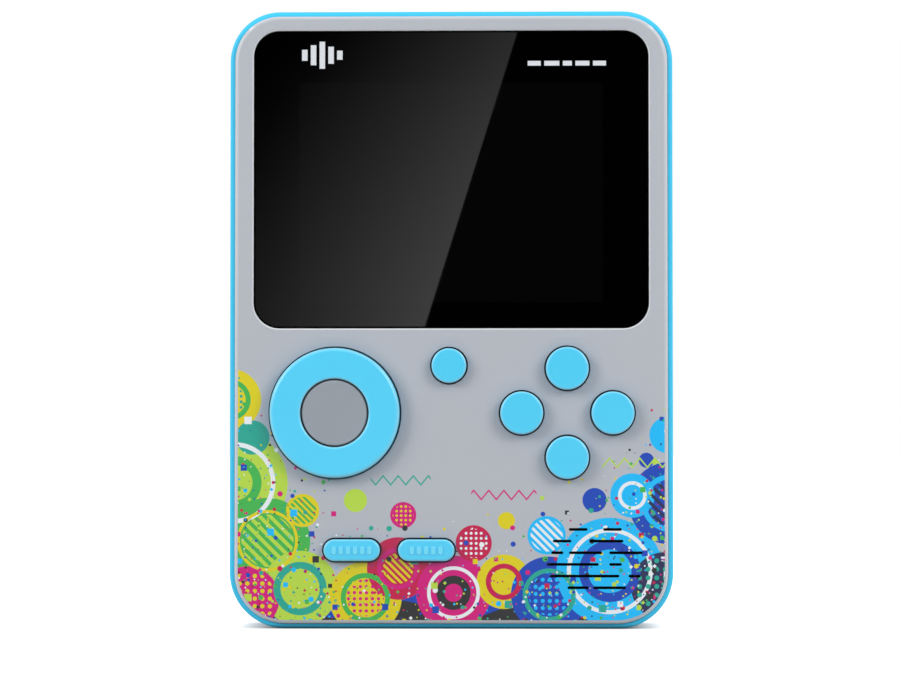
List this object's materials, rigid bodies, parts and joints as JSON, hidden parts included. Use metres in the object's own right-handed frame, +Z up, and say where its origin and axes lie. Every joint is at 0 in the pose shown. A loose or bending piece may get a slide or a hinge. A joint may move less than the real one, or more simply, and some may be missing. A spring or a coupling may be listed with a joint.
{
  "type": "handheld game console",
  "caption": "Upright handheld game console with a screen above, a ring-shaped direction pad, round and pill-shaped buttons and a slotted speaker grille below, and a hinged battery cover.",
  "frame": {"origin": "middle of the lower edge that the console stands on, with the depth centred", "axes": "+Z up the console, +X to the right seen from the front, the face looks along -Y"},
  "size_m": [0.0884, 0.0246, 0.1232],
  "materials": {
    "face_gray": "satin gray plastic with a colour print",
    "case_blue": "satin light blue plastic",
    "key_blue": "satin light blue plastic",
    "cap_gray": "satin gray plastic",
    "lens_black": "clear glossy sheet, black behind",
    "lcd_glass": "dark glass",
    "black_tape": "matt black",
    "white_plastic": "matt",
    "black_plastic": "satin",
    "steel": "plain",
    "foam": "soft foam",
    "ribbon_amber": "smooth film",
    "board_green": "solder mask",
    "rubber_gray": "matt silicone",
    "wire_red": "smooth",
    "battery_can": "dark coated can",
    "contact_brass": "plated"
  },
  "bodies": {
    "case": {"front_shell": "face_gray", "rear_shell": "case_blue", "screen_lens": "lens_black", "lens_tape": "black_tape", "lcd_panel": "lcd_glass", "lcd_backlight": "white_plastic", "lcd_frame": "steel", "lcd_foam_pad": "foam", "lcd_ribbon": "ribbon_amber", "lcd_connector": "white_plastic", "main_board": "board_green", "processor": "black_plastic", "memory_chip": "black_plastic", "dpad_pivot_post": "white_plastic", "dpad_mat": "rubber_gray", "action_mat": "rubber_gray", "reset_mat": "rubber_gray", "menu_mat": "rubber_gray", "speaker_frame": "black_plastic", "speaker_cone": "black_tape", "speaker_magnet": "steel", "speaker_screen": "black_tape", "speaker_wires": "wire_red", "battery": "battery_can", "battery_contacts": "contact_brass", "power_switch_body": "steel", "volume_control": "black_plastic", "usb_port": "steel", "usb_tongue": "black_plastic", "av_jack": "black_plastic", "case_screws": "steel", "board_screws": "steel"},
    "dpad_pivot": {"dpad_pivot_ball": "steel"},
    "dpad": {"dpad_ring": "key_blue", "dpad_cap": "cap_gray", "dpad_domes": "rubber_gray"},
    "right_action_key": {"right_action_button": "key_blue", "right_action_dome": "rubber_gray"},
    "top_action_key": {"top_action_button": "key_blue", "top_action_dome": "rubber_gray"},
    "left_action_key": {"left_action_button": "key_blue", "left_action_dome": "rubber_gray"},
    "bottom_action_key": {"bottom_action_button": "key_blue", "bottom_action_dome": "rubber_gray"},
    "reset_key": {"reset_button": "key_blue", "reset_dome": "rubber_gray"},
    "left_menu_key": {"left_menu_button": "key_blue", "left_menu_dome": "rubber_gray"},
    "right_menu_key": {"right_menu_button": "key_blue", "right_menu_dome": "rubber_gray"},
    "power_slider": {"power_switch_slider": "black_plastic"},
    "volume_thumbwheel": {"volume_wheel": "black_plastic"},
    "battery_lid": {"battery_cover": "case_blue"}
  },
  "joints": [
    {"name": "dpad_tilt_up_down", "type": "hinge", "parent": "case", "child": "dpad_pivot", "pos_m": [-0.0231, -0.0081, 0.0429], "axis": [1, 0, 0], "range_deg": [-3.5, 3.5], "stiffness_Nm_per_rad": 0.2},
    {"name": "dpad_tilt_left_right", "type": "hinge", "parent": "dpad_pivot", "child": "dpad", "pos_m": [-0.0231, -0.0081, 0.0429], "axis": [0, 0, 1], "range_deg": [-3.5, 3.5], "stiffness_Nm_per_rad": 0.2},
    {"name": "right_action_press", "type": "slide", "parent": "case", "child": "right_action_key", "axis": [0, 1, 0], "range_m": [0, 0.0012], "stiffness_N_per_m": 900},
    {"name": "top_action_press", "type": "slide", "parent": "case", "child": "top_action_key", "axis": [0, 1, 0], "range_m": [0, 0.0012], "stiffness_N_per_m": 900},
    {"name": "left_action_press", "type": "slide", "parent": "case", "child": "left_action_key", "axis": [0, 1, 0], "range_m": [0, 0.0012], "stiffness_N_per_m": 900},
    {"name": "bottom_action_press", "type": "slide", "parent": "case", "child": "bottom_action_key", "axis": [0, 1, 0], "range_m": [0, 0.0012], "stiffness_N_per_m": 900},
    {"name": "reset_press", "type": "slide", "parent": "case", "child": "reset_key", "axis": [0, 1, 0], "range_m": [0, 0.0012], "stiffness_N_per_m": 900},
    {"name": "left_menu_press", "type": "slide", "parent": "case", "child": "left_menu_key", "axis": [0, 1, 0], "range_m": [0, 0.0012], "stiffness_N_per_m": 900},
    {"name": "right_menu_press", "type": "slide", "parent": "case", "child": "right_menu_key", "axis": [0, 1, 0], "range_m": [0, 0.0012], "stiffness_N_per_m": 900},
    {"name": "power_slide", "type": "slide", "parent": "case", "child": "power_slider", "axis": [1, 0, 0], "range_m": [0, 0.003]},
    {"name": "volume_turn", "type": "hinge", "parent": "case", "child": "volume_thumbwheel", "pos_m": [0.0371, 0.0021, 0.095], "axis": [0, 1, 0], "range_deg": [-140, 140]},
    {"name": "battery_cover_hinge", "type": "hinge", "parent": "case", "child": "battery_lid", "pos_m": [0, 0.0115, 0.01], "axis": [-1, 0, 0], "range_deg": [0, 90]}
  ]
}
